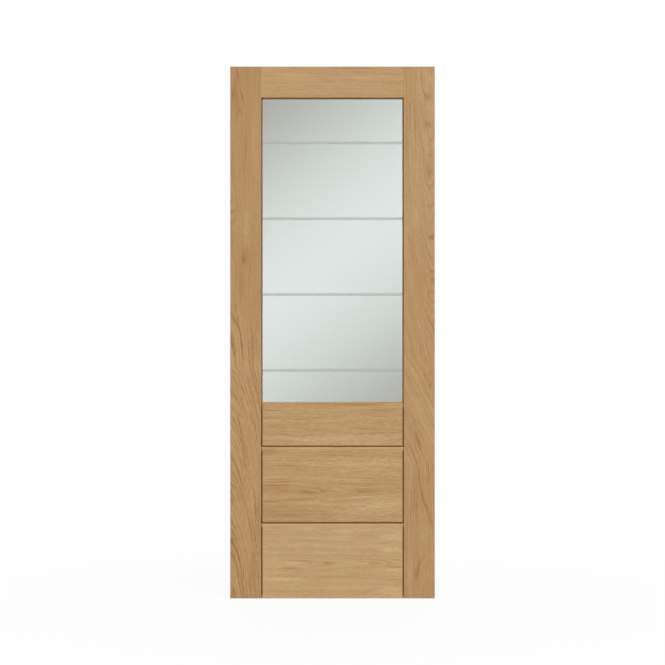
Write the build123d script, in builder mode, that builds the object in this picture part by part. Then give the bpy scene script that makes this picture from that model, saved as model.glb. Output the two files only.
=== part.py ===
from build123d import *
import os

os.makedirs("parts", exist_ok=True)

# The door leaf, in millimetres: X across from the hinge edge, Y from front to back, Z up from the foot
leaf_height = 1981
leaf_width = 762
leaf_thickness = 35
stile_width = 115
top_rail_height = 115

# The boards below the glass
bottom_board_height = 279
middle_board_height = 285
upper_board_height = 162

# Layers of each timber member
veneer_thickness = 0.6
lipping_width = 14
arris = 1

# Bevels of the boards, and the tongues that hold the members together
bevel = 6
tongue_thickness = 8
board_tongue = 8
stub_tongue = 10
tongue_gap = 0.5

# The pane, with bands etched at whole pitches above the leaf's foot, and its beads
glass_thickness = 4
glass_edge_gap = 2
etched_pitch = 283
etched_band_height = 10
etched_depth = 0.2
bead_width = 5
bead_nose = 3
bead_land = 1.5
bead_setback = 1

# Places that several pieces share
face = leaf_thickness / 2
glue_line = face - veneer_thickness
opening_left = stile_width
opening_right = leaf_width - stile_width
opening_width = opening_right - opening_left
opening_middle = (opening_left + opening_right) / 2
middle_board_foot = bottom_board_height
upper_board_foot = middle_board_foot + middle_board_height
sill = upper_board_foot + upper_board_height
head = leaf_height - top_rail_height
opening_height = head - sill
glass_face = glass_thickness / 2

standing = (Align.CENTER, Align.CENTER, Align.MIN)


# Save the part of a blank on the side that each plane's normal points to
def save_layer(blank, name, planes):
    with BuildPart() as layer:
        add(blank.part)
        for plane in planes:
            split(bisect_by=plane)
    layer.part.label = name
    export_step(layer.part, f"parts/{name}.step")


# Split a finished blank into its face veneers, its two lippings and the core between them
def save_member(blank, member, across, low, high, low_name, high_name):
    towards_front = Plane(origin=(0, -glue_line, 0), z_dir=(0, -1, 0))
    towards_back = Plane(origin=(0, glue_line, 0), z_dir=(0, 1, 0))
    behind_front = Plane(origin=towards_front.origin, z_dir=-towards_front.z_dir)
    before_back = Plane(origin=towards_back.origin, z_dir=-towards_back.z_dir)
    between = [behind_front, before_back]
    low_joint = across * (low + lipping_width)
    high_joint = across * (high - lipping_width)
    save_layer(blank, f"{member}_front_veneer", [towards_front])
    save_layer(blank, f"{member}_back_veneer", [towards_back])
    save_layer(blank, f"{member}_{low_name}_lipping", between + [Plane(low_joint, z_dir=-across)])
    save_layer(blank, f"{member}_{high_name}_lipping", between + [Plane(high_joint, z_dir=across)])
    save_layer(
        blank,
        f"{member}_core",
        between + [Plane(low_joint, z_dir=across), Plane(high_joint, z_dir=-across)],
    )


# A stile, modelled at the left with its inner edge grooved for the stub tongues
def stile_blank():
    groove_depth = stub_tongue + tongue_gap
    with BuildPart() as blank:
        Box(stile_width, leaf_thickness, leaf_height, align=(Align.MIN, Align.CENTER, Align.MIN))
        outer_arrises = blank.edges().filter_by(Axis.Z).group_by(Axis.X)[0]
        chamfer(outer_arrises, arris)
        for foot, height in ((0, sill), (head, top_rail_height)):
            with Locations((stile_width, 0, foot)):
                Box(
                    groove_depth,
                    tongue_thickness,
                    height,
                    align=(Align.MAX, Align.CENTER, Align.MIN),
                    mode=Mode.SUBTRACT,
                )
    return blank


left_stile = stile_blank()
save_member(left_stile, "left_stile", Vector(1, 0, 0), 0, stile_width, "outer", "inner")

with BuildPart() as right_stile:
    add(left_stile.part)
    mirror(about=Plane.YZ.offset(leaf_width / 2), mode=Mode.REPLACE)
save_member(right_stile, "right_stile", Vector(1, 0, 0), opening_right, leaf_width, "inner", "outer")


# A rail or board between the stiles: its ends carry stub tongues, and the boards' edges are bevelled
def crosspiece_blank(foot, height, bevel_ends, tongue_above, groove_below):
    top = foot + height
    with BuildPart() as blank:
        with Locations((opening_middle, 0, foot)):
            Box(opening_width, leaf_thickness, height, align=standing)
        face_edges = blank.faces().filter_by(Axis.Y).edges()
        level_edges = face_edges.filter_by(Axis.X).group_by(Axis.Z)
        bevelled = ShapeList()
        if bevel_ends:
            bevelled += face_edges.filter_by(Axis.Z)
        if tongue_above:
            bevelled += level_edges[-1]
        if groove_below:
            bevelled += level_edges[0]
        if bevelled:
            chamfer(bevelled, bevel)
        full_length = opening_width + 2 * stub_tongue
        with Locations((opening_middle, 0, foot)):
            Box(full_length, tongue_thickness, height, align=standing)
        if tongue_above:
            with Locations((opening_middle, 0, top)):
                Box(full_length, tongue_thickness, board_tongue, align=standing)
        if groove_below:
            groove_depth = board_tongue + tongue_gap
            with Locations((opening_middle, 0, foot)):
                Box(
                    full_length,
                    tongue_thickness,
                    groove_depth,
                    align=standing,
                    mode=Mode.SUBTRACT,
                )
    return blank


crosspieces = {
    "bottom_board": (0, bottom_board_height, True, True, False),
    "middle_board": (middle_board_foot, middle_board_height, True, True, True),
    "upper_board": (upper_board_foot, upper_board_height, True, False, True),
    "top_rail": (head, top_rail_height, False, False, False),
}
for member, (foot, height, bevel_ends, tongue_above, groove_below) in crosspieces.items():
    blank = crosspiece_blank(foot, height, bevel_ends, tongue_above, groove_below)
    save_member(blank, member, Vector(0, 0, 1), foot, foot + height, "lower", "upper")

# The pane, with etched bands across its front face
with BuildPart() as glass_pane:
    pane_width = opening_width - 2 * glass_edge_gap
    pane_height = opening_height - 2 * glass_edge_gap
    with Locations((opening_middle, 0, sill + glass_edge_gap)):
        Box(pane_width, glass_thickness, pane_height, align=standing)
    first_band = int(sill // etched_pitch) + 1
    last_band = int(head // etched_pitch)
    for band in range(first_band, last_band + 1):
        with Locations((opening_middle, -glass_face, band * etched_pitch)):
            Box(
                pane_width,
                etched_depth,
                etched_band_height,
                align=(Align.CENTER, Align.MIN, Align.CENTER),
                mode=Mode.SUBTRACT,
            )
glass_pane.part.label = "glass_pane"
export_step(glass_pane.part, "parts/glass_pane.step")


# A splayed bead along one side of the opening, from the glass out to just below the timber's face
def glazing_bead(name, middle, inward, length, facing):
    outward = Vector(0, facing, 0)
    along = inward.cross(outward)
    base = glass_face
    nose = base + bead_nose
    crest = face - bead_setback
    with BuildPart() as bead:
        with BuildSketch(Plane(origin=middle, x_dir=inward, z_dir=along)):
            with BuildLine():
                Polyline(
                    (0, base),
                    (bead_width, base),
                    (bead_width, nose),
                    (bead_land, crest),
                    (0, crest),
                    close=True,
                )
            make_face()
        extrude(amount=length / 2, both=True)
        for end in (-1, 1):
            corner = middle + along * (end * length / 2)
            split(bisect_by=Plane(origin=corner, z_dir=-along * end - inward))
    bead.part.label = name
    export_step(bead.part, f"parts/{name}.step")


opening_centre = Vector(opening_middle, 0, (sill + head) / 2)
sides = {
    "left": (Vector(1, 0, 0), opening_width, opening_height),
    "right": (Vector(-1, 0, 0), opening_width, opening_height),
    "lower": (Vector(0, 0, 1), opening_height, opening_width),
    "upper": (Vector(0, 0, -1), opening_height, opening_width),
}
for surface, facing in (("front", -1), ("back", 1)):
    for side, (inward, across, length) in sides.items():
        middle = opening_centre - inward * (across / 2)
        glazing_bead(f"{surface}_{side}_bead", middle, inward, length, facing)
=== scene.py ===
import math
from typing import NamedTuple

import bpy
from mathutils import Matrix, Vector


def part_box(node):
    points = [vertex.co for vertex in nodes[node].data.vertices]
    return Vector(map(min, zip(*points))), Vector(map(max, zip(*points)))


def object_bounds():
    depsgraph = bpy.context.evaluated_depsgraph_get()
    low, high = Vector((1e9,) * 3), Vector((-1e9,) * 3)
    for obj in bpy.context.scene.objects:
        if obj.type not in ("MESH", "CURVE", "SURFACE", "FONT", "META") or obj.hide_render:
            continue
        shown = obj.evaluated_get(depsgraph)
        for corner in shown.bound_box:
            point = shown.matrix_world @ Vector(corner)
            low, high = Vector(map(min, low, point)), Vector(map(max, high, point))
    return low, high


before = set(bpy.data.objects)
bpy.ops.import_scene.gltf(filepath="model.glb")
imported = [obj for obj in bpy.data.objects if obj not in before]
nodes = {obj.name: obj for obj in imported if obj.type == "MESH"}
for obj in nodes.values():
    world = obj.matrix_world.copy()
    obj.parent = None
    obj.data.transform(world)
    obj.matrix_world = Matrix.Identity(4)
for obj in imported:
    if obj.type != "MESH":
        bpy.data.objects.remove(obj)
cad_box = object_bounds()

# Sizes and places read from the frame, in metres
box_low, box_high = (Vector(corner) for corner in cad_box)
centre = (box_low + box_high) / 2
front_y = box_low.y
stile_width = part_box("front_left_bead")[0].x - box_low.x
glass_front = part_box("glass_pane")[0].y

# The etched bands lie at whole pitches above the leaf's foot, in metres
etched_pitch = 0.283
etched_band_height = 0.010

# Millimetres in a metre
MM = 1000


def srgb(red, green, blue):
    """A colour on the 0 to 255 screen scale as linear values."""
    values = []
    for screen_level in (red, green, blue):
        share = screen_level / 255
        values.append(share / 12.92 if share <= 0.04045 else ((share + 0.055) / 1.055) ** 2.4)
    return (*values, 1.0)


class Tree:
    """Short calls that add nodes to one node tree. Most return the new node's output."""

    def __init__(self, tree):
        self.nodes = tree.nodes
        self.links = tree.links
        self.nodes.clear()

    def put(self, socket, value):
        """Link an output to the socket, or set the socket to a plain value."""
        if isinstance(value, bpy.types.NodeSocket):
            self.links.new(value, socket)
        elif value is not None:
            socket.default_value = value

    def node(self, kind, **settings):
        """Add a node with its settings, and return the node itself."""
        made = self.nodes.new(kind)
        for name, value in settings.items():
            setattr(made, name, value)
        return made

    def math(self, operation, a, b=None):
        made = self.node("ShaderNodeMath", operation=operation)
        for socket, value in zip(made.inputs, (a, b)):
            self.put(socket, value)
        return made.outputs[0]

    def add(self, a, b):
        return self.math("ADD", a, b)

    def sub(self, a, b):
        return self.math("SUBTRACT", a, b)

    def mul(self, a, b):
        return self.math("MULTIPLY", a, b)

    def centred(self, noise, size):
        """A value that varies about 0, from noise that varies about 0.5."""
        return self.mul(self.sub(noise, 0.5), size)

    def smooth(self, value, start, end, low=0.0, high=1.0):
        """A value that eases from low at the start to high at the end."""
        made = self.node("ShaderNodeMapRange", interpolation_type="SMOOTHSTEP")
        for socket, number in zip(made.inputs, (value, start, end, low, high)):
            self.put(socket, number)
        return made.outputs[0]

    def vector(self, x, y, z):
        made = self.node("ShaderNodeCombineXYZ")
        for socket, value in zip(made.inputs, (x, y, z)):
            self.put(socket, value)
        return made.outputs[0]

    def noise(self, vector, detail=2.0, roughness=0.5):
        """Three-dimensional noise of scale 1, with values round 0.5."""
        made = self.node("ShaderNodeTexNoise", noise_dimensions="3D")
        self.put(made.inputs["Vector"], vector)
        made.inputs["Scale"].default_value = 1.0
        made.inputs["Detail"].default_value = detail
        made.inputs["Roughness"].default_value = roughness
        return made.outputs[0]

    def noise_1d(self, value, detail=2.0, roughness=0.5):
        """One-dimensional noise of scale 1, with values round 0.5."""
        made = self.node("ShaderNodeTexNoise", noise_dimensions="1D")
        self.put(made.inputs["W"], value)
        made.inputs["Scale"].default_value = 1.0
        made.inputs["Detail"].default_value = detail
        made.inputs["Roughness"].default_value = roughness
        return made.outputs[0]

    def random_1d(self, value):
        """A fixed random number from 0 to 1 for each value."""
        made = self.node("ShaderNodeTexWhiteNoise", noise_dimensions="1D")
        self.put(made.inputs["W"], value)
        return made.outputs[0]

    def mix(self, factor, a, b, blend="MIX"):
        """Mix two colours."""
        made = self.node("ShaderNodeMix", data_type="RGBA", blend_type=blend)
        self.put(made.inputs["Factor"], factor)
        self.put(made.inputs[6], a)
        self.put(made.inputs[7], b)
        return made.outputs[2]

    def mix_shaders(self, factor, a, b):
        """Mix two shaders."""
        made = self.node("ShaderNodeMixShader")
        for socket, value in zip(made.inputs, (factor, a, b)):
            self.put(socket, value)
        return made.outputs[0]

    def scale_colour(self, colour, factor):
        """Multiply a colour by one number."""
        made = self.node("ShaderNodeVectorMath", operation="SCALE")
        self.put(made.inputs[0], colour)
        self.put(made.inputs["Scale"], factor)
        return made.outputs[0]

    def place(self):
        """Each point's x, y and z in metres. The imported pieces' own axes are the leaf's."""
        split = self.node("ShaderNodeSeparateXYZ")
        self.put(split.inputs[0], self.node("ShaderNodeTexCoord").outputs["Object"])
        return tuple(split.outputs)

    def place_in_mm(self):
        """The same place in mm."""
        return tuple(self.mul(socket, MM) for socket in self.place())

    def surface(self, shader):
        """Make a shader the material's surface."""
        self.put(self.node("ShaderNodeOutputMaterial").inputs["Surface"], shader)


def new_material(name):
    """A new material and the calls that fill its node tree."""
    material = bpy.data.materials.new(name)
    material.use_nodes = True
    return material, Tree(material.node_tree)


def timber_surface(tree, colour, roughness, height, relief, strength):
    """A timber surface with its relief in metres. Returns the shader node."""
    shader = tree.node("ShaderNodeBsdfPrincipled")
    tree.put(shader.inputs["Base Color"], colour)
    tree.put(shader.inputs["Roughness"], roughness)
    bump = tree.node("ShaderNodeBump")
    bump.inputs["Strength"].default_value = strength
    bump.inputs["Distance"].default_value = relief
    tree.put(bump.inputs["Height"], height)
    tree.put(shader.inputs["Normal"], bump.outputs[0])
    tree.surface(shader.outputs[0])
    return shader


def level(value):
    """A path with one value all along."""
    return ((0, value),)


class Figure(NamedTuple):
    """One member's grain, in mm. A path is a row of places along the grain, each with its value."""

    seed: float
    heart: tuple  # path of the heart line's place across the face
    heart_depth: tuple  # path of the heart line's distance from the leaf's middle
    contrast: tuple  # path of the figure's strength
    pale: tuple  # path of how much paler the wood is
    rings: float  # strength of the ring lines
    ripple: float  # how far the rings waver
    slide: tuple = level(0)  # path of what is added to the distance from the heart
    straight: tuple = level(0.0)  # path from 0, where streaks follow the rings, to 1, where they don't
    knots: tuple = ()  # each as a Mark, which also bends the rings round it
    marks: tuple = ()  # each as a Mark


class Mark(NamedTuple):
    """One darker or lighter place in the front face. Its middle and its half sizes are in mm."""

    across: float
    along: float
    half_width: float
    half_length: float
    lean: float = 0.0  # how far it leans across for each mm along the grain
    darker: float = 0.5  # below 0 for a lighter place


# The figures of the six members and of the beads
FIGURES = {
    "left_stile": Figure(
        seed=3.0,
        heart=((250, -6), (560, -30), (860, -34), (1080, -20)),
        heart_depth=((0, 84), (250, 108), (560, 146), (860, 192), (1080, 205)),
        contrast=((480, 0.88), (700, 0.82), (1250, 0.62), (1900, 0.52)),
        pale=level(-0.05),
        rings=1.0,
        ripple=7,
        straight=((960, 0.0), (1150, 1.0)),
        knots=((48, 1262, 6, 16), (35, 998, 4, 8)),
        marks=(
            (22, 1890, 30, 120, 0.0, 0.30), (92, 1700, 22, 260, 0.0, -0.20), (9, 1440, 8, 16, 0.9, 1.0),
            (4, 1481, 8, 14, 0.5, 0.8), (28, 1952, 4, 36, -0.16, 1.0), (44, 1872, 4.5, 38, -0.3, 1.1),
            (9, 1874, 4, 40, 0.1, 0.7), (31, 1815, 3.5, 22, 0.35, 0.9), (41, 1815, 3.5, 22, -0.5, 0.8),
            (20, 1780, 3, 60, 0.05, 0.4), (60, 1680, 3, 90, 0.0, 0.35), (60, 1385, 22, 90, 0.0, -0.45),
            (98, 1180, 20, 300, 0.0, 0.22), (54, 1275, 18, 48, 0.0, 0.55), (50, 1258, 4, 26, 0.0, 0.5),
            (40, 1150, 16, 100, 0.0, 0.35), (21, 1030, 7, 52, -0.42, 1.3), (44, 930, 5, 62, -0.12, 1.2),
            (70, 792, 4.2, 90, -0.22, 0.9), (47, 776, 5, 26, -0.6, 1.0), (83, 668, 3.6, 60, -0.3, 0.7),
            (76, 640, 6, 46, -0.45, -0.5), (80, 950, 12, 60, 0.0, 0.35), (8, 520, 10, 20, -0.3, 0.7),
            (82, 400, 5, 110, -0.06, -0.6), (94, 330, 3, 70, 0.0, 0.8), (106, 330, 3, 90, 0.0, 0.6),
            (6, 222, 10, 10, -0.3, 1.0), (4, 395, 9, 40, -0.2, 0.5), (14, 22, 14, 22, 0.0, 0.8),
            (88, 1700, 4, 200, 0.0, -0.4), (66, 1780, 2.4, 180, -0.01, 0.35),
            (82, 1560, 2.4, 200, 0.01, 0.35),
        ),
    ),
    "right_stile": Figure(
        seed=17.0,
        heart=((850, 180), (1100, 116), (1550, 96)),
        heart_depth=((600, 95), (1000, 88), (1990, 10)),
        contrast=((300, 0.55), (600, 0.82), (1300, 0.62)),
        pale=((500, 0.02), (800, 0.0), (1250, 0.0), (1500, 0.11)),
        rings=0.9,
        ripple=8,
        slide=((500, 150), (900, 0)),
        marks=(
            (90, 1868, 15, 17, 0.0, 1.0), (66, 1935, 4, 50, -0.12, 1.0), (75, 1884, 5, 24, -0.4, 0.8),
            (94, 1935, 15, 36, 0.0, -0.4), (88, 1767, 17, 19, -0.1, 0.85), (65, 1828, 3.6, 50, -0.15, 0.8),
            (94, 1825, 17, 20, 0.0, -0.35), (92, 1590, 17, 66, 0.08, 0.6), (68, 1690, 4, 84, -0.15, 0.8),
            (85, 1695, 22, 44, 0.0, -0.35), (103, 1346, 12, 15, 0.0, 0.8), (100, 1142, 12, 12, 0.0, 0.8),
            (104, 1200, 9, 5, -0.3, 0.8), (99, 841, 6, 14, -0.3, 1.0), (95, 793, 7, 10, -0.3, 0.8),
            (45, 1420, 14, 50, 0.0, -0.4), (30, 1120, 22, 130, 0.0, 0.2), (92, 915, 3, 50, -0.25, 0.8),
            (60, 930, 3, 60, -0.08, 0.7), (45, 640, 3, 60, -0.35, 0.7), (52, 590, 6, 50, -0.34, 1.1),
            (34, 540, 4, 60, -0.40, 1.0), (42, 380, 20, 150, 0.0, 0.45), (57, 450, 4.5, 50, -0.07, 1.1),
            (66, 395, 6, 34, -0.22, 0.9), (82, 345, 9, 46, -0.42, 1.0), (98, 292, 7, 34, -0.38, 0.9),
            (92, 470, 3, 60, -0.1, 0.6), (14, 300, 3, 190, 0.0, 0.7), (26, 330, 3, 160, 0.0, 0.7),
            (57, 122, 8, 42, 0.16, 0.8), (46, 90, 11, 30, 0.0, 0.6), (90, 190, 18, 130, 0.0, -0.3),
            (20, 90, 16, 80, 0.0, -0.3), (75, 240, 12, 60, 0.0, -0.3), (11, 1780, 3, 240, 0.0, 0.5),
            (24, 1830, 3.2, 180, -0.01, 0.6), (40, 1790, 3.6, 130, -0.05, 0.8),
            (51, 1760, 3.2, 130, -0.06, 0.5), (32, 1760, 3, 120, -0.02, -0.6),
            (57, 1900, 3.4, 100, -0.03, -0.5),
        ),
    ),
    "top_rail": Figure(
        seed=29.0,
        heart=level(190),
        heart_depth=((0, 60), (762, 72)),
        contrast=level(0.55),
        pale=level(0.27),
        rings=0.7,
        ripple=4,
        marks=(
            (110, 440, 5, 95, 0.0, 0.8), (86, 225, 8, 60, 0.0, -0.5), (74, 480, 6, 55, 0.0, -0.4),
            (58, 370, 6, 30, 0.0, 0.45), (92, 480, 3, 40, 0.0, 0.4), (52, 600, 12, 70, 0.0, 0.3),
            (57, 647, 200, 2.2, 0.0, 0.8),
        ),
    ),
    "upper_board": Figure(
        seed=41.0,
        heart=level(185),
        heart_depth=((0, 25), (762, 48)),
        contrast=level(0.95),
        pale=level(0.18),
        rings=0.6,
        ripple=3,
        marks=(
            (157, 490, 6, 90, 0.0, 1.1), (136, 150, 3.4, 60, 0.0, 1.2), (135, 250, 3.0, 110, 0.0, 0.8),
            (140, 570, 3.4, 110, 0.02, 1.2), (133, 590, 2.8, 80, 0.02, 0.8), (126, 540, 2.6, 150, 0.0, 0.6),
            (106, 140, 2.8, 60, 0.0, 0.6), (82, 160, 9, 80, 0.0, 0.5), (64, 310, 3.4, 70, 0.0, 0.9),
            (69, 490, 3.5, 70, 0.0, 0.8), (46, 125, 16, 50, 0.0, 0.4), (26, 400, 26, 330, 0.0, -0.65),
            (110, 430, 9, 120, 0.0, -0.4),
        ),
    ),
    "middle_board": Figure(
        seed=53.0,
        heart=level(118),
        heart_depth=((60, 16), (720, 40)),
        contrast=level(1.0),
        pale=level(0.17),
        rings=0.4,
        ripple=3.5,
        marks=(
            (268, 145, 16, 60, 0.0, 0.75), (266, 400, 3, 110, 0.0, 0.8), (268, 560, 3, 60, 0.0, 0.5),
            (230, 480, 22, 260, 0.0, -0.55), (205, 500, 26, 140, 0.0, -0.45), (165, 165, 3.0, 70, 0.0, 1.1),
            (154, 175, 3.2, 75, 0.0, 1.2), (143, 180, 3.6, 85, 0.0, 1.3), (147, 480, 3.0, 180, 0.0, 0.7),
            (168, 480, 3.0, 200, 0.0, 0.6), (161, 600, 3.0, 60, 0.0, 0.7), (128, 210, 20, 150, 0.0, 0.5),
            (117, 285, 9, 48, 0.0, 1.2), (122, 510, 12, 90, 0.05, 0.75), (108, 545, 5, 50, 0.10, 0.7),
            (82, 150, 3.0, 60, 0.0, 1.4), (90, 270, 4, 90, 0.06, 0.8), (96, 470, 3, 110, 0.10, -1.1),
            (66, 580, 34, 130, 0.0, -0.75), (45, 480, 30, 110, 0.0, -0.4), (40, 180, 46, 110, 0.0, 0.45),
        ),
    ),
    "bottom_board": Figure(
        seed=67.0,
        heart=level(130),
        heart_depth=((60, 10), (720, 42)),
        contrast=level(0.75),
        pale=level(0.50),
        rings=0.45,
        ripple=4,
        marks=(
            (132, 360, 8, 26, 0.0, 1.3), (141, 260, 3.2, 120, -0.05, 0.9), (121, 320, 3, 60, 0.10, 0.7),
            (113, 222, 5, 45, 0.02, 0.9), (130, 240, 6, 70, 0.0, -0.6), (162, 280, 2.8, 140, 0.0, 0.5),
            (158, 490, 3.2, 180, -0.03, 0.9), (131, 545, 7, 34, 0.0, 0.5), (118, 610, 3.6, 46, 0.03, 0.9),
            (108, 600, 7, 45, 0.0, -0.9), (70, 600, 3.0, 70, 0.0, 1.0), (262, 180, 10, 60, 0.0, 0.7),
            (215, 290, 8, 90, 0.0, 0.5), (222, 480, 9, 50, 0.0, 0.4), (232, 610, 14, 60, 0.0, -0.8),
            (182, 600, 11, 60, 0.0, -0.9), (72, 190, 10, 90, 0.0, -0.8), (25, 600, 16, 80, 0.0, -0.8),
            (247, 420, 8, 40, 0.0, -0.6),
        ),
    ),
    "bead": Figure(
        seed=83.0,
        heart=level(-40),
        heart_depth=((0, 30), (1980, 60)),
        contrast=level(0.8),
        pale=level(0.15),
        rings=0.8,
        ripple=4,
    ),
}

# Oak colours: the plain wood, its dark ring lines and its pale streaks
OAK_BASE = srgb(178, 137, 89)
OAK_DARK = srgb(138, 82, 24)
OAK_LIGHT = srgb(207, 174, 128)

# The spacing of the rings and of the broad bands that follow them, in mm
RING_SPACING = 4.8
BAND_SPACING = 20

# The rings crowd and spread by up to this many rings, over lengths of about this many mm
CROWDING = 1.4
CROWDING_LENGTH = 17

# A ring's dark line falls off by this power
RING_FALL = 2.6

# A line fades and returns over about this many mm, and each ring takes its own place in the noise for that
FADE_LENGTH = 130
FADE_STRIDE = 7.3

# The share of a point's distance from the leaf's middle that is taken off the heart line's depth
DEPTH_SHARE = 0.6

# What each noise adds to the member's seed, so that no two are alike. The back is another part of them all
FLECK_SEED = 3
RIPPLE_SEED = 5
SWELL_SEED = 7
DASH_SEED = 9
STREAK_SEED = 13
BACK_SEED = 101

# A knot adds this many mm to the distance from the heart, which bends the rings round it
KNOT_PUSH = 9

# A mark fades out at this many times its half sizes
MARK_REACH = 1.25

# Its outline is broken up along the grain, and less where a half size is under this many mm
MARK_RAGGEDNESS = 1.6
RAGGED_FROM = 8

# How much likelier pores are in the rings' dark starts and along the fibre
EARLY_PORES = 0.16
FIBRE_PORES = 0.10

# How strongly each part of the figure darkens the wood
LINE_WEIGHT = 1.15
BAND_WEIGHT = 0.7
STREAK_WEIGHT = 1.15
DASH_WEIGHT = 1.0
CLOUD_WEIGHT = 0.45
MARK_WEIGHT = 0.50
FIBRE_WEIGHT = 0.55
PORE_WEIGHT = 0.20
FLECK_WEIGHT = 0.22

# The average strength of the ring lines, and the share of the rings lost where the grain runs straight
LINE_AVERAGE = 0.2
STRAIGHT_LOSS = 0.7

# The lacquer: its roughness, what fibre and pores add to it, its gloss, and the relief under it in metres
LACQUER_ROUGHNESS = 0.42
FIBRE_ROUGHNESS = 0.10
PORE_ROUGHNESS = 0.16
LACQUER_SPECULAR = 0.35
LACQUER_RELIEF = 0.00012

# How high the fibre stands, as a share of the pores' depth
FIBRE_HEIGHT = 0.35


class Place(NamedTuple):
    """Each point's distances in mm along the grain, across it in the face, and behind the leaf's middle."""

    along: object
    across: object
    depth: object


class Cut(NamedTuple):
    """Where a piece is cut from its member."""

    member: str  # whose figure it shows
    upright: bool  # whether its grain runs up
    edge: float  # the member's left or lower edge, in metres
    at_front: bool = True


class StainAndShade(NamedTuple):
    """How a piece is stained, darkened with painted shade, lightened with a painted highlight and
    lacquered, with depths in mm behind the leaf's face.
    """

    start: float = 0.0  # the depth where the staining and the painted shade start to change
    end: float = 1.0  # the depth where it has changed
    first: float = 0.0  # its share before the start
    last: float = 0.0  # its share after the end
    edge_only: bool = False  # whether it keeps to a stile's edges
    paler: float = 0.0  # how much lighter the wood is painted: a painted highlight
    gloss: float = 1.0  # the share of the lacquer's gloss


def wood_place(tree, cut):
    """Each point's place in the wood, from its place on the leaf."""
    x, y, z = tree.place_in_mm()
    if cut.upright:
        return Place(z, tree.sub(x, cut.edge * MM), y)
    return Place(x, tree.sub(z, cut.edge * MM), y)


def path(tree, value, points):
    """A value that runs in straight steps through the given points."""
    total = points[0][1]
    for (start, first), (end, last) in zip(points, points[1:]):
        step = tree.node("ShaderNodeMapRange", interpolation_type="LINEAR")
        for socket, number in zip(step.inputs, (value, start, end, 0.0, last - first)):
            tree.put(socket, number)
        total = tree.add(step.outputs[0], total)
    return total


def wander(tree, along, seed, length, size, detail):
    """A distance that wanders about 0 along the grain."""
    return tree.centred(tree.noise(tree.vector(tree.mul(along, 1 / length), seed, 0.0), detail), size)


def grain_noise(tree, place, seed, length, width, thickness=None, detail=1.0, roughness=0.5):
    """Noise in spots drawn out along the grain, in mm. Without a thickness they run through the leaf."""
    depth = seed
    if thickness:
        depth = tree.add(tree.mul(place.depth, 1 / thickness), seed)
    spot = tree.vector(tree.mul(place.along, 1 / length), tree.mul(place.across, 1 / width), depth)
    return tree.noise(spot, detail, roughness)


def soft_spot(tree, place, ragged, mark):
    """1 in the middle of a mark, 0 outside it. ragged breaks up a broad one along the grain."""
    raggedness = min(1.0, min(mark.half_width, mark.half_length) / RAGGED_FROM)
    run = tree.sub(place.along, mark.along)
    side = tree.sub(tree.sub(place.across, mark.across), tree.mul(run, mark.lean))
    side = tree.mul(side, 1 / mark.half_width)
    run = tree.mul(run, 1 / mark.half_length)
    reach = tree.math("SQRT", tree.add(tree.mul(side, side), tree.mul(run, run)))
    return tree.smooth(tree.add(reach, tree.mul(ragged, raggedness)), start=MARK_REACH, end=0.0)


def ring_radius(tree, figure, place, seed):
    """The distance from the wandering heart line, which gives the rings and their arches."""
    sway = wander(tree, place.along, seed, length=520, size=30, detail=1.0)
    swell = wander(tree, place.along, seed + SWELL_SEED, length=210, size=16, detail=2.0)
    ripple = grain_noise(tree, place, seed + RIPPLE_SEED, length=130, width=60, detail=2.0)
    side = tree.sub(place.across, tree.add(sway, path(tree, place.along, figure.heart)))
    heart_depth = tree.add(path(tree, place.along, figure.heart_depth), swell)
    below = tree.sub(heart_depth, tree.mul(tree.math("ABSOLUTE", place.depth), DEPTH_SHARE))
    radius = tree.math("SQRT", tree.add(tree.mul(side, side), tree.mul(below, below)))
    radius = tree.add(radius, tree.centred(ripple, figure.ripple))
    return tree.add(radius, path(tree, place.along, figure.slide))


def placed_marks(tree, figure, place, radius, dash):
    """Bend the rings round the knots, and add up how much darker the knots and the marks are."""
    ragged = tree.centred(dash, MARK_RAGGEDNESS)
    spots = 0.0
    for values in figure.knots:
        knot = Mark(*values)
        spot = soft_spot(tree, place, ragged, knot)
        radius = tree.add(radius, tree.mul(spot, KNOT_PUSH))
        spots = tree.add(tree.mul(spot, knot.darker), spots)
    for values in figure.marks:
        mark = Mark(*values)
        spot = soft_spot(tree, place, ragged, mark)
        spots = tree.add(tree.mul(spot, mark.darker), spots)
    return radius, spots


def ring_lines(tree, place, radius, dash, seed):
    """The dark porous start of each ring, plain and with each ring's own strength."""
    crowding = tree.mul(tree.noise_1d(tree.mul(radius, 1 / CROWDING_LENGTH)), CROWDING)
    ring_place = tree.add(tree.mul(radius, 1 / RING_SPACING), crowding)
    ring_number = tree.math("FLOOR", ring_place)
    early = tree.math("POWER", tree.sub(1.0, tree.math("FRACT", ring_place)), RING_FALL)
    broken = tree.smooth(dash, start=0.36, end=0.60, low=0.6, high=1.2)
    fade_along = tree.mul(place.along, 1 / FADE_LENGTH)
    fade = tree.noise(tree.vector(fade_along, tree.mul(ring_number, FADE_STRIDE), seed), detail=1.0)
    fade = tree.smooth(fade, start=0.36, end=0.60, low=0.35, high=1.15)
    strength = tree.random_1d(tree.add(ring_number, seed))
    strength = tree.smooth(strength, start=0.0, end=0.9, low=0.5, high=1.0)
    return early, tree.mul(early, tree.mul(tree.mul(strength, fade), broken))


def ring_darkness(tree, figure, radius, lines, straight, seed):
    """How much darker the ring lines and the bands make the wood, less where the grain runs straight."""
    bands = tree.noise_1d(tree.add(tree.mul(radius, 1 / BAND_SPACING), seed), detail=3.0, roughness=0.6)
    darker = tree.mul(tree.sub(lines, LINE_AVERAGE), LINE_WEIGHT * figure.rings)
    darker = tree.add(darker, tree.centred(bands, BAND_WEIGHT))
    return tree.mul(darker, tree.sub(1.0, tree.mul(straight, STRAIGHT_LOSS)))


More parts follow.
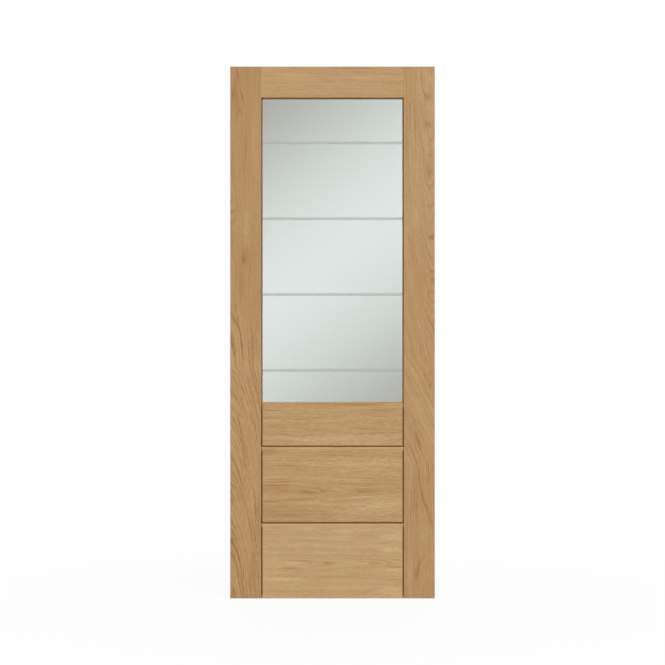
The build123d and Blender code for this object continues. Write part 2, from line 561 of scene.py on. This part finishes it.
def streaks(tree, place, radius, straight, seed):
    """Long streaks, along the rings or along the board."""
    on_rings = place._replace(across=radius)
    fine = {"detail": 3.0, "roughness": 0.6}
    bent_streak = grain_noise(tree, on_rings, seed, length=150, width=3.2, **fine)
    straight_streak = grain_noise(tree, place, seed + STREAK_SEED, length=260, width=4.5, **fine)
    return tree.add(bent_streak, tree.mul(tree.sub(straight_streak, bent_streak), straight))


def pore_mask(tree, place, early, fibre, seed):
    """1 in the short open pores, which are thickest in the rings' dark starts."""
    noise = grain_noise(tree, place, seed, length=4.5, width=0.42, thickness=0.42)
    likelier = tree.add(tree.mul(early, EARLY_PORES), tree.centred(fibre, FIBRE_PORES))
    return tree.smooth(tree.add(noise, likelier), start=0.66, end=0.74)


def fleck_mask(tree, place, seed):
    """1 in the short pale flecks."""
    noise = grain_noise(tree, place, seed + FLECK_SEED, length=16, width=2.4, thickness=2.4)
    return tree.smooth(noise, start=0.60, end=0.72)


def oak_pattern(tree, cut, paler):
    """The oak's colour, its pore mask, its fibre height, and each point's place in the wood."""
    figure = FIGURES[cut.member]
    seed = figure.seed if cut.at_front else figure.seed + BACK_SEED
    place = wood_place(tree, cut)
    dash = grain_noise(
        tree, place, seed + DASH_SEED, length=24, width=3.0, thickness=3.0, detail=2.0, roughness=0.6
    )
    fibre = grain_noise(tree, place, seed, length=60, width=1.2, thickness=1.2, detail=3.0, roughness=0.6)
    cloud = grain_noise(tree, place, seed, length=190, width=45, thickness=40)
    flecks = fleck_mask(tree, place, seed)
    radius = ring_radius(tree, figure, place, seed)
    spots = 0.0
    if cut.at_front:
        radius, spots = placed_marks(tree, figure, place, radius, dash)
    early, lines = ring_lines(tree, place, radius, dash, seed)
    pores = pore_mask(tree, place, early, fibre, seed)

    # How much darker than the plain wood, from about -1 to 1
    straight = path(tree, place.along, figure.straight)
    darker = ring_darkness(tree, figure, radius, lines, straight, seed)
    darker = tree.add(darker, tree.centred(streaks(tree, place, radius, straight, seed), STREAK_WEIGHT))
    darker = tree.add(darker, tree.centred(dash, DASH_WEIGHT))
    darker = tree.add(darker, tree.centred(cloud, CLOUD_WEIGHT))
    darker = tree.mul(darker, path(tree, place.along, figure.contrast))
    darker = tree.add(darker, tree.mul(spots, MARK_WEIGHT))
    darker = tree.add(darker, tree.centred(fibre, FIBRE_WEIGHT))
    darker = tree.add(darker, tree.mul(pores, PORE_WEIGHT))
    darker = tree.sub(darker, tree.mul(flecks, FLECK_WEIGHT))
    # The member's own lighter tone, plus any painted highlight on a groove wall that faces up
    darker = tree.sub(darker, tree.add(path(tree, place.along, figure.pale), paler))
    colour = tree.mix(tree.math("MAXIMUM", darker, 0.0), OAK_BASE, OAK_DARK)
    colour = tree.mix(tree.math("MAXIMUM", tree.mul(darker, -1.0), 0.0), colour, OAK_LIGHT)
    return colour, pores, fibre, place


# The tint that staining and painted shade multiply into the wood where they gather
STAIN_AND_SHADE_TINT = (0.40, 0.30, 0.17, 1)

# The faces are only lacquered
UNSTAINED = StainAndShade()

# Painted shade darkens the wall of a V-groove that faces down; the wall that faces up gets painted shade
# only at the groove's root
UPPER_WALL_SHADE = StainAndShade(start=0.0, end=1.0, first=0.6, last=0.84)
LOWER_WALL_ROOT_SHADE = StainAndShade(start=5.7, end=6.2, first=0.0, last=0.4)

# Painted shade darkens a stile's edge beside the boards' ends too. It is darkest on the bevels at the
# boards' ends, which cut the grain, and whose end grain is also darker with staining
STILE_EDGE_SHADE = StainAndShade(start=0.0, end=3.0, first=0.1, last=0.8, edge_only=True)
BOARD_END_STAIN_AND_SHADE = StainAndShade(start=0.0, end=1.5, first=0.6, last=0.9)

# The side and upper beads are darkened all over with painted shade, and all beads are nearly without gloss
SIDE_BEAD_SHADE = StainAndShade(first=0.56, last=0.56, gloss=0.1)
LOWER_BEAD = StainAndShade(gloss=0.1)

# The lippings that make the walls of a V-groove or stand beside the boards' ends, with their painted shade.
# The walls that face up are also painted lighter, a painted highlight
WALL_SHADES_AND_HIGHLIGHTS = {
    "left_stile_inner": STILE_EDGE_SHADE,
    "right_stile_inner": STILE_EDGE_SHADE,
    "bottom_board_upper": LOWER_WALL_ROOT_SHADE._replace(paler=0.1),
    "middle_board_lower": UPPER_WALL_SHADE,
    "middle_board_upper": LOWER_WALL_ROOT_SHADE._replace(paler=0.65),
    "upper_board_lower": UPPER_WALL_SHADE,
}


def stain_and_shade_share(tree, stain_and_shade, place):
    """The share of the staining and painted shade at each depth behind the leaf's face."""
    reach = tree.sub(abs(front_y) * MM, tree.math("ABSOLUTE", place.depth))
    share = tree.smooth(reach, stain_and_shade.start, stain_and_shade.end, stain_and_shade.first, stain_and_shade.last)
    if stain_and_shade.edge_only:
        to_edge = tree.math("MINIMUM", place.across, tree.sub(stile_width * MM, place.across))
        share = tree.mul(share, tree.smooth(to_edge, start=0.4, end=0.2))
    return share


def oak_material(name, cut, stain_and_shade=UNSTAINED):
    """A satin lacquered oak sheet, strip or bead."""
    material, tree = new_material(name)
    colour, pores, fibre, place = oak_pattern(tree, cut, stain_and_shade.paler)
    # Staining and painted shade darken the colour here
    if stain_and_shade.last > 0:
        colour = tree.mix(stain_and_shade_share(tree, stain_and_shade, place), colour, STAIN_AND_SHADE_TINT, "MULTIPLY")
    roughness = tree.add(tree.mul(pores, PORE_ROUGHNESS), tree.centred(fibre, FIBRE_ROUGHNESS))
    roughness = tree.add(roughness, LACQUER_ROUGHNESS)
    height = tree.sub(tree.mul(fibre, FIBRE_HEIGHT), pores)
    shader = timber_surface(tree, colour, roughness, height, relief=LACQUER_RELIEF, strength=0.35)
    shader.inputs["Specular IOR Level"].default_value = LACQUER_SPECULAR * stain_and_shade.gloss
    return material


# Softwood colours: between the rings, in them, in the fibre and in the glue joints
CORE_LIGHT = srgb(222, 190, 142)
CORE_RING = srgb(196, 152, 98)
CORE_FIBRE = srgb(170, 128, 84)
CORE_GLUE = srgb(120, 86, 54)

# The width of the core's strips, and how far the hearts of their rings stray, in mm
CORE_STRIP = 28
CORE_STRAY = 40

# The mm that one unit of their rings' pattern spans across a strip, by its slant and into the leaf
CORE_RING_WIDTH = 14
CORE_RING_SLANT = 40
CORE_RING_RISE = 18

# How far the pattern turns from ring to ring in one unit, in radians
CORE_RING_TURN = 22

# The core's fibre, in mm
CORE_FIBRE_WIDTH = 0.8
CORE_FIBRE_LENGTH = 30


def core_material():
    """Bare jointed softwood strips, seen only at the head and the foot of the leaf."""
    material, tree = new_material("softwood_core")
    x, y, z = tree.place_in_mm()
    strips = tree.mul(x, 1 / CORE_STRIP)
    strip = tree.math("FLOOR", strips)
    own_share = tree.random_1d(strip)
    stray = tree.centred(own_share, CORE_STRAY)

    # Rings round a heart that strays from strip to strip
    side = tree.add(tree.sub(x, tree.mul(strip, CORE_STRIP)), stray)
    side = tree.add(tree.mul(side, 1 / CORE_RING_WIDTH), tree.mul(y, 1 / CORE_RING_SLANT))
    rise = tree.math("POWER", tree.mul(tree.add(y, stray), 1 / CORE_RING_RISE), 2.0)
    radius = tree.math("SQRT", tree.add(tree.mul(side, side), rise))
    rings = tree.math("SINE", tree.mul(radius, CORE_RING_TURN))
    colour = tree.mix(tree.smooth(rings, start=-0.4, end=1.0), CORE_LIGHT, CORE_RING)

    # Fibre along the strips
    fine_x, fine_y = (tree.mul(socket, 1 / CORE_FIBRE_WIDTH) for socket in (x, y))
    fibre = tree.noise(tree.vector(fine_x, fine_y, tree.mul(z, 1 / CORE_FIBRE_LENGTH)), detail=3.0)
    colour = tree.mix(tree.mul(tree.sub(fibre, 0.3), 0.6), colour, CORE_FIBRE)

    # Each strip has its own tone, and dark glue shows between two of them
    colour = tree.scale_colour(colour, tree.add(tree.mul(own_share, 0.16), 0.90))
    joint = tree.math("ABSOLUTE", tree.sub(tree.math("FRACT", strips), 0.5))
    colour = tree.mix(tree.smooth(joint, start=0.484, end=0.495), colour, CORE_GLUE)
    timber_surface(tree, colour, tree.add(tree.mul(fibre, 0.2), 0.6), fibre, relief=0.0002, strength=0.4)
    return material


# The pane's tint, its tint where it is etched, and the tint of the lamps' light that passes through it
GLASS_TINT = (0.394, 0.393, 0.345, 1)
FROST_TINT = (0.450, 0.457, 0.428, 1)
SHADOW_TINT = (0.8, 0.82, 0.81, 1)

# The frost fades over this many mm to each side of a band's edge, and reaches this many mm behind the face
BAND_EDGE = 0.1
BAND_DEPTH = 0.5

# How much of the glass's gloss the frost takes away, its roughness, and its grit: how rough and how fine
FROST_DULLING = 0.70
FROST_ROUGHNESS = 0.42
GRIT_ROUGHNESS = 0.2
GRIT_PER_METRE = 2400


def etched_mask(tree, y, z):
    """1 in the etched bands of the front face."""
    pitches = tree.math("DIVIDE", z, etched_pitch)
    off = tree.math("ABSOLUTE", tree.sub(pitches, tree.math("ROUND", pitches)))
    off_mm = tree.mul(off, etched_pitch * MM)
    half = etched_band_height * MM / 2
    band = tree.smooth(off_mm, half + BAND_EDGE, half - BAND_EDGE)
    depth = glass_front * MM + BAND_DEPTH
    return tree.mul(band, tree.smooth(tree.mul(y, MM), depth + BAND_EDGE, depth - BAND_EDGE))


def glass_material():
    """Clear pale grey glass, frosted where the bands are etched into its front face."""
    material, tree = new_material("pane_glass")
    x, y, z = tree.place()
    etched = etched_mask(tree, y, z)
    grit_place = tree.vector(tree.mul(x, GRIT_PER_METRE), 0.0, tree.mul(z, GRIT_PER_METRE))
    grit = tree.noise(grit_place, detail=1.0)
    glass = tree.node("ShaderNodeBsdfPrincipled")
    glass.inputs["Transmission Weight"].default_value = 1.0
    glass.inputs["IOR"].default_value = 1.2
    glass.inputs["Coat IOR"].default_value = 1.8
    glass.inputs["Coat Roughness"].default_value = 0.06
    tree.put(glass.inputs["Coat Weight"], tree.sub(1.0, tree.mul(etched, FROST_DULLING)))
    tree.put(glass.inputs["Base Color"], tree.mix(etched, GLASS_TINT, FROST_TINT))
    roughness = tree.add(tree.mul(grit, GRIT_ROUGHNESS), FROST_ROUGHNESS)
    tree.put(glass.inputs["Roughness"], tree.mul(etched, roughness))

    # The lamps' light passes straight through, so that the pane throws only a pale shadow
    lets_light = tree.node("ShaderNodeBsdfTransparent")
    lets_light.inputs[0].default_value = SHADOW_TINT
    shadow_ray = tree.node("ShaderNodeLightPath").outputs["Is Shadow Ray"]
    tree.surface(tree.mix_shaders(shadow_ray, glass.outputs[0], lets_light.outputs[0]))
    return material


def put_material(node_name, material):
    """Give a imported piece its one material."""
    slots = nodes[node_name].data.materials
    slots.clear()
    slots.append(material)


def dress_member(member, upright, edge, lippings):
    """One stile, rail or board: its own figure on both faces and on its lippings."""
    cut = Cut(member, upright, edge)
    front = oak_material(f"{member}_front_oak", cut)
    back = oak_material(f"{member}_back_oak", cut._replace(at_front=False))
    put_material(f"{member}_front_veneer", front)
    put_material(f"{member}_back_veneer", back)
    for lipping in lippings:
        strip = front
        # Lippings at a V-groove or beside the boards' ends get painted shade, and walls that face up a
        # painted highlight
        if stain_and_shade := WALL_SHADES_AND_HIGHLIGHTS.get(f"{member}_{lipping}"):
            strip = oak_material(f"{member}_{lipping}_oak", cut, stain_and_shade)
        put_material(f"{member}_{lipping}_lipping", strip)


def dress_members():
    """Give each member its own grain, the stiles softwood ends, and the boards ends that are dark with
    staining and painted shade.
    """
    softwood = core_material()
    # The boards' end bevels: end grain darker with staining, and painted shade in the groove
    board_end = oak_material("board_end_grain_and_shade", Cut("bottom_board", False, 0.0), BOARD_END_STAIN_AND_SHADE)
    for member, left_lipping in (("left_stile", "outer"), ("right_stile", "inner")):
        left_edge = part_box(f"{member}_{left_lipping}_lipping")[0].x
        dress_member(member, True, left_edge, ("outer", "inner"))
        put_material(f"{member}_core", softwood)
    for member in ("bottom_board", "middle_board", "upper_board", "top_rail"):
        lower_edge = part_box(f"{member}_lower_lipping")[0].z
        dress_member(member, False, lower_edge, ("lower", "upper"))
        put_material(f"{member}_core", board_end)


def dress_beads():
    """The beads share one figure; the side and upper ones are darkened with painted shade, and the lower
    ones stay pale.
    """
    upright = Cut("bead", True, 0.0)
    lying = Cut("bead", False, 0.0)
    # Painted shade on the side and upper beads; the lower beads get none
    side_oak = oak_material("upright_bead_oak", upright, SIDE_BEAD_SHADE)
    upper_oak = oak_material("upper_bead_oak", lying, SIDE_BEAD_SHADE)
    lower_oak = oak_material("lower_bead_oak", lying, LOWER_BEAD)
    for face in ("front", "back"):
        put_material(f"{face}_left_bead", side_oak)
        put_material(f"{face}_right_bead", side_oak)
        put_material(f"{face}_upper_bead", upper_oak)
        put_material(f"{face}_lower_bead", lower_oak)


# The floor: its size and its gap below the leaf in metres, and its grey where it lights the leaf
FLOOR_SIZE = 60
FLOOR_GAP = 0.0005
FLOOR_GREY = 0.62

# The share of plain white in the floor as it is seen, which grows from the leaf outwards, in metres
WHITE_NEAR = 0.93
WHITE_STARTS = 0.6
WHITE_ENDS = 3.0


def seen_rays(tree):
    """1 for rays that show the background: from the camera, in gloss or through glass."""
    rays = tree.node("ShaderNodeLightPath")
    seen = tree.math("MAXIMUM", rays.outputs["Is Camera Ray"], rays.outputs["Is Glossy Ray"])
    seen = tree.math("MAXIMUM", seen, rays.outputs["Is Transmission Ray"])
    return tree.mul(seen, tree.math("LESS_THAN", rays.outputs["Diffuse Depth"], 0.5))


def stage_floor():
    """A plain pale floor that shows white to the camera and keeps a soft shadow."""
    bpy.ops.mesh.primitive_plane_add(size=FLOOR_SIZE, location=(centre.x, centre.y, box_low.z - FLOOR_GAP))
    floor = bpy.context.object
    floor.name = "studio_floor"
    material, tree = new_material("studio_floor")
    paint = tree.node("ShaderNodeBsdfDiffuse")
    paint.inputs[0].default_value = (FLOOR_GREY, FLOOR_GREY, FLOOR_GREY, 1)
    white = tree.node("ShaderNodeEmission")
    white.inputs[1].default_value = 1.0
    length = tree.node("ShaderNodeVectorMath", operation="LENGTH")
    tree.put(length.inputs[0], tree.node("ShaderNodeTexCoord").outputs["Object"])
    share = tree.smooth(length.outputs["Value"], WHITE_STARTS, WHITE_ENDS, low=WHITE_NEAR, high=1.0)
    tree.surface(tree.mix_shaders(tree.mul(seen_rays(tree), share), paint.outputs[0], white.outputs[0]))
    floor.data.materials.append(material)


def light_world(fill_level):
    """White where it is seen, and a plain soft level where it lights."""
    world = bpy.data.worlds.new("studio")
    bpy.context.scene.world = world
    world.use_nodes = True
    tree = Tree(world.node_tree)
    fill = tree.node("ShaderNodeBackground")
    fill.inputs[1].default_value = fill_level
    white = tree.node("ShaderNodeBackground")
    white.inputs[1].default_value = 1.0
    for background in (fill, white):
        background.inputs[0].default_value = (1, 1, 1, 1)
    mixed = tree.mix_shaders(seen_rays(tree), fill.outputs[0], white.outputs[0])
    tree.put(tree.node("ShaderNodeOutputWorld").inputs["Surface"], mixed)


# How wide the lamps look, which softens their shadows
LAMP_WIDTH = math.radians(30)


def sun_lamp(name, rise, turn, power):
    """A soft lamp, far off, with its rise above level and its turn to the right of the front in degrees."""
    lamp = bpy.data.lights.new(name, "SUN")
    lamp.energy = power
    lamp.angle = LAMP_WIDTH
    holder = bpy.data.objects.new(name, lamp)
    rise, turn = math.radians(rise), math.radians(turn)
    towards = Vector((math.cos(rise) * math.sin(turn), -math.cos(rise) * math.cos(turn), math.sin(rise)))
    holder.rotation_euler = towards.to_track_quat("Z", "Y").to_euler()
    holder.visible_glossy = False
    holder.visible_transmission = False
    bpy.context.scene.collection.objects.link(holder)


# The panel that the glass reflects: how far in front it stands, and its size, in metres
PANEL_DISTANCE = 9.0
PANEL_WIDTH = 7.0
PANEL_HEIGHT = 9.0

# Its bright band: the height of its middle, how far it reaches, its slant, its strength and its colour
PANEL_BAND_HEIGHT = 1.60
PANEL_BAND_REACH = 1.76
PANEL_SLANT = math.radians(34)
PANEL_GLOW = 5.1
PANEL_COLOUR = (0.82, 0.95, 1.0, 1)


def panel_material():
    """A slanting band of light that fades to both sides."""
    material, tree = new_material("reflection_panel")
    split = tree.node("ShaderNodeSeparateXYZ")
    tree.put(split.inputs[0], tree.node("ShaderNodeNewGeometry").outputs["Position"])
    x = tree.sub(split.outputs[0], centre.x)
    z = tree.sub(split.outputs[2], PANEL_BAND_HEIGHT)
    off = tree.sub(tree.mul(z, math.cos(PANEL_SLANT)), tree.mul(x, math.sin(PANEL_SLANT)))
    share = tree.smooth(tree.math("ABSOLUTE", off), 0.0, PANEL_BAND_REACH, low=1.0, high=0.0)
    glow = tree.node("ShaderNodeEmission")
    glow.inputs[0].default_value = PANEL_COLOUR
    tree.put(glow.inputs[1], tree.mul(share, PANEL_GLOW))
    tree.surface(glow.outputs[0])
    return material


def reflection_panel():
    """A large panel behind the camera, seen only in gloss: it puts the soft slanting sheen on the glass."""
    bpy.ops.mesh.primitive_plane_add(size=1, location=(centre.x, front_y - PANEL_DISTANCE, centre.z))
    panel = bpy.context.object
    panel.name = "reflection_panel"
    panel.scale = (PANEL_WIDTH, PANEL_HEIGHT, 1.0)
    panel.rotation_euler = (math.radians(-90), 0, 0)
    panel.data.materials.append(panel_material())
    for kind in ("camera", "diffuse", "transmission", "volume_scatter", "shadow"):
        setattr(panel, f"visible_{kind}", False)


def light_studio():
    """Soft light from all round, a key lamp in front, a fill lamp behind and the panel for the glass."""
    light_world(fill_level=0.32)
    sun_lamp("key", rise=50, turn=22, power=2.4)
    sun_lamp("back_fill", rise=28, turn=180, power=1.7)
    reflection_panel()


# The camera: its distance from the leaf's face and the width that it sees there, in metres
CAMERA_DISTANCE = 8.0
VIEW_WIDTH = 2.477
SENSOR_WIDTH_MM = 36


def place_camera():
    """Square to the front face and centred on the leaf, as in the photograph."""
    camera = bpy.data.cameras.new("camera")
    camera.sensor_width = SENSOR_WIDTH_MM
    camera.lens = SENSOR_WIDTH_MM * CAMERA_DISTANCE / VIEW_WIDTH
    camera.clip_end = 100
    holder = bpy.data.objects.new("camera", camera)
    holder.location = (centre.x, front_y - CAMERA_DISTANCE, centre.z)
    holder.rotation_euler = (math.radians(90), 0, 0)
    bpy.context.scene.collection.objects.link(holder)
    bpy.context.scene.camera = holder


dress_members()
dress_beads()
put_material("glass_pane", glass_material())
stage_floor()
light_studio()
place_camera()
bpy.context.scene.view_settings.view_transform = "Standard"
